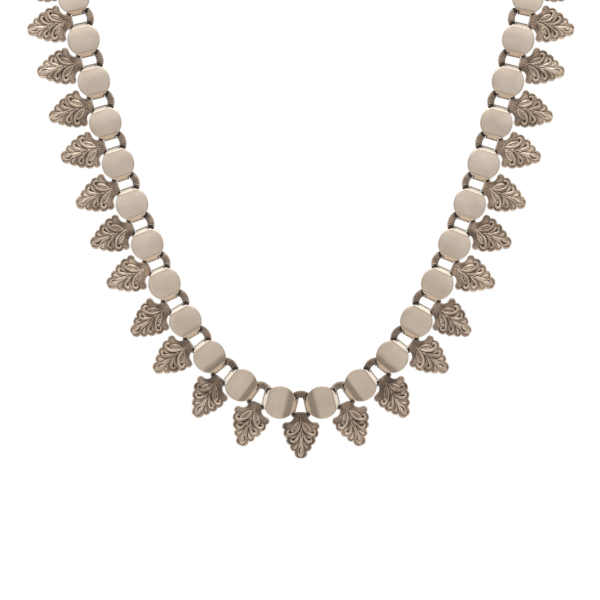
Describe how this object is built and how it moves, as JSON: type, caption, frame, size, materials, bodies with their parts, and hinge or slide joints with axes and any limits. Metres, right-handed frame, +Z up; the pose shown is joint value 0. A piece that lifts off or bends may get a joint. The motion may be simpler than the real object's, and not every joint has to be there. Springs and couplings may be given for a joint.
{
  "type": "fringe necklace",
  "caption": "Fringe necklace: a closed chain of round bent sheet discs hinged to small cast frames, each frame with a ribbed arch and an acanthus leaf that hangs outward.",
  "frame": {"origin": "middle of the clasp's inner face, where the necklace lies on the nape", "axes": "+Z up, towards the nape from the hanging front; -Y is the way the front faces; X runs from side to side, and the necklace is symmetric about X = 0"},
  "size_m": [0.1328, 0.0573, 0.1571],
  "materials": {
    "oxidised_silver": "cast silver, worn bright on the relief and oxidised dark in the recesses",
    "polished_silver": "worn polished silver sheet with fine scratches"
  },
  "bodies": {
    "root": {"leaf_link_centre": "oxidised_silver", "leaf_link_left_1": "oxidised_silver", "leaf_link_left_2": "oxidised_silver", "leaf_link_left_3": "oxidised_silver", "leaf_link_left_4": "oxidised_silver", "leaf_link_left_5": "oxidised_silver", "leaf_link_left_6": "oxidised_silver", "leaf_link_left_7": "oxidised_silver", "leaf_link_left_8": "oxidised_silver", "leaf_link_left_9": "oxidised_silver", "leaf_link_left_10": "oxidised_silver", "leaf_link_left_11": "oxidised_silver", "leaf_link_left_12": "oxidised_silver", "leaf_link_left_13": "oxidised_silver", "leaf_link_left_14": "oxidised_silver", "leaf_link_left_15": "oxidised_silver", "leaf_link_left_16": "oxidised_silver", "leaf_link_left_17": "oxidised_silver", "leaf_link_left_18": "oxidised_silver", "leaf_link_left_19": "oxidised_silver", "leaf_link_left_20": "oxidised_silver", "leaf_link_left_21": "oxidised_silver", "leaf_link_right_1": "oxidised_silver", "leaf_link_right_2": "oxidised_silver", "leaf_link_right_3": "oxidised_silver", "leaf_link_right_4": "oxidised_silver", "leaf_link_right_5": "oxidised_silver", "leaf_link_right_6": "oxidised_silver", "leaf_link_right_7": "oxidised_silver", "leaf_link_right_8": "oxidised_silver", "leaf_link_right_9": "oxidised_silver", "leaf_link_right_10": "oxidised_silver", "leaf_link_right_11": "oxidised_silver", "leaf_link_right_12": "oxidised_silver", "leaf_link_right_13": "oxidised_silver", "leaf_link_right_14": "oxidised_silver", "leaf_link_right_15": "oxidised_silver", "leaf_link_right_16": "oxidised_silver", "leaf_link_right_17": "oxidised_silver", "leaf_link_right_18": "oxidised_silver", "leaf_link_right_19": "oxidised_silver", "leaf_link_right_20": "oxidised_silver", "leaf_link_right_21": "oxidised_silver", "disc_links_left": "polished_silver", "disc_links_right": "polished_silver", "clasp": "polished_silver"}
  },
  "joints": []
}
